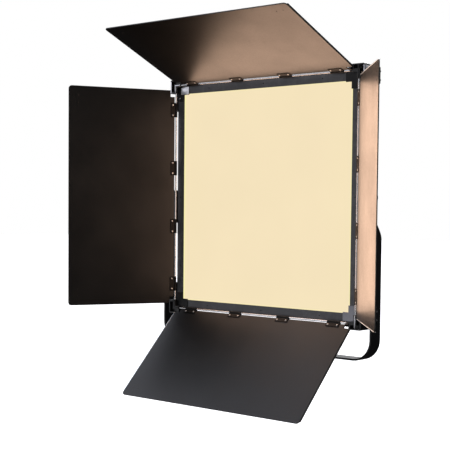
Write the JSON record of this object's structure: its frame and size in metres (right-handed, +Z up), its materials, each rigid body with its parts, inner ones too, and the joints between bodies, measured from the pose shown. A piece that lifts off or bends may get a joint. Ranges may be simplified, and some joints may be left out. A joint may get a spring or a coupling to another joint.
{
  "type": "led panel light",
  "caption": "Square soft LED panel light with folding barn doors, tilting in a yoke on a stand spigot, with dimmer and colour controls on the back.",
  "frame": {"origin": "centre of the lower end face of the stand spigot", "axes": "+Z up along the spigot, the light faces -Y, +X to the right of someone who looks at the light"},
  "size_m": [1.0068, 0.4085, 1.0081],
  "materials": {
    "yoke_paint": "satin black powder coat",
    "bright_steel": "zinc-plated, satin",
    "rod_chrome": "polished",
    "washer_fibre": "matte",
    "frame_coat": "dark grey anodised, satin",
    "corner_plastic": "satin grey",
    "bracket_coat": "satin black",
    "leaf_coat": "satin black powder coat",
    "clip_coat": "black, semi-gloss",
    "diffuser_opal": "opal, lit from behind",
    "guide_acrylic": "clear, polished",
    "led_amber": "warm white emitters on a strip",
    "reflector_white": "white sheet",
    "back_coat": "satin black powder coat",
    "box_case": "satin dark grey",
    "display_glass": "gloss black window",
    "knob_plastic": "matte black",
    "button_plastic": "satin grey",
    "switch_plastic": "gloss black",
    "socket_nickel": "nickel"
  },
  "bodies": {
    "yoke": {"yoke": "yoke_paint", "spigot": "bright_steel", "friction_washer_right": "washer_fibre", "friction_washer_left": "washer_fibre"},
    "head": {"pivot_block_right": "bracket_coat", "pivot_block_left": "bracket_coat", "pivot_bolt_right": "bright_steel", "pivot_bolt_left": "bright_steel", "frame_rail_top": "frame_coat", "frame_rail_right": "frame_coat", "frame_rail_bottom": "frame_coat", "frame_rail_left": "frame_coat", "corner_cover_top_right": "corner_plastic", "corner_cover_top_left": "corner_plastic", "corner_cover_bottom_right": "corner_plastic", "corner_cover_bottom_left": "corner_plastic", "corner_bracket_top_right": "bracket_coat", "corner_bracket_top_left": "bracket_coat", "corner_bracket_bottom_right": "bracket_coat", "corner_bracket_bottom_left": "bracket_coat", "rod_top": "rod_chrome", "rod_right": "rod_chrome", "rod_bottom": "rod_chrome", "rod_left": "rod_chrome", "diffuser": "diffuser_opal", "light_guide": "guide_acrylic", "led_strip_right": "led_amber", "led_strip_left": "led_amber", "reflector": "reflector_white", "back_panel": "back_coat", "control_box": "box_case", "display_window": "display_glass", "power_inlet": "switch_plastic", "data_socket_in": "socket_nickel", "data_socket_out": "socket_nickel"},
    "leaf_top": {"leaf_top": "leaf_coat", "clip_top_a": "clip_coat", "clip_top_b": "clip_coat", "clip_top_c": "clip_coat", "clip_top_d": "clip_coat"},
    "leaf_right": {"leaf_right": "leaf_coat", "clip_right_a": "clip_coat", "clip_right_b": "clip_coat", "clip_right_c": "clip_coat", "clip_right_d": "clip_coat"},
    "leaf_bottom": {"leaf_bottom": "leaf_coat", "clip_bottom_a": "clip_coat", "clip_bottom_b": "clip_coat", "clip_bottom_c": "clip_coat", "clip_bottom_d": "clip_coat"},
    "leaf_left": {"leaf_left": "leaf_coat", "clip_left_a": "clip_coat", "clip_left_b": "clip_coat", "clip_left_c": "clip_coat", "clip_left_d": "clip_coat"},
    "tilt_knob": {"tilt_knob": "knob_plastic"},
    "dimmer_knob": {"dimmer_knob": "knob_plastic"},
    "colour_knob": {"colour_knob": "knob_plastic"},
    "mode_button": {"mode_button": "button_plastic"},
    "power_switch": {"power_switch": "switch_plastic"}
  },
  "joints": [
    {"name": "tilt", "type": "hinge", "parent": "yoke", "child": "head", "pos_m": [0, -0.0165, 0.531], "axis": [-1, 0, 0], "range_deg": [-6, 90]},
    {"name": "top_leaf", "type": "hinge", "parent": "head", "child": "leaf_top", "pos_m": [0, -0.0235, 0.8555], "axis": [-1, 0, 0], "range_deg": [-78.2, 31.8]},
    {"name": "right_leaf", "type": "hinge", "parent": "head", "child": "leaf_right", "pos_m": [0.3215, -0.0235, 0.531], "axis": [0, 0, 1], "range_deg": [-132.1, 12.9]},
    {"name": "bottom_leaf", "type": "hinge", "parent": "head", "child": "leaf_bottom", "pos_m": [0, -0.0235, 0.2065], "axis": [1, 0, 0], "range_deg": [-100.5, 9.5]},
    {"name": "left_leaf", "type": "hinge", "parent": "head", "child": "leaf_left", "pos_m": [-0.3215, -0.0235, 0.531], "axis": [0, 0, -1], "range_deg": [-116.8, 28.2]},
    {"name": "tilt_knob_turn", "type": "hinge", "parent": "head", "child": "tilt_knob", "pos_m": [-0.38, -0.0165, 0.531], "axis": [-1, 0, 0], "range_deg": [-180, 180]},
    {"name": "dimmer_turn", "type": "hinge", "parent": "head", "child": "dimmer_knob", "pos_m": [0.042, 0.0746, 0.501], "axis": [0, -1, 0], "range_deg": [-150, 150]},
    {"name": "colour_turn", "type": "hinge", "parent": "head", "child": "colour_knob", "pos_m": [-0.042, 0.0746, 0.501], "axis": [0, -1, 0], "range_deg": [-150, 150]},
    {"name": "mode_press", "type": "slide", "parent": "head", "child": "mode_button", "axis": [0, -1, 0], "range_m": [0, 0.002], "stiffness_N_per_m": 400},
    {"name": "power_rock", "type": "hinge", "parent": "head", "child": "power_switch", "pos_m": [0.1, 0.0746, 0.565], "axis": [-1, 0, 0], "range_deg": [0, 16]}
  ]
}
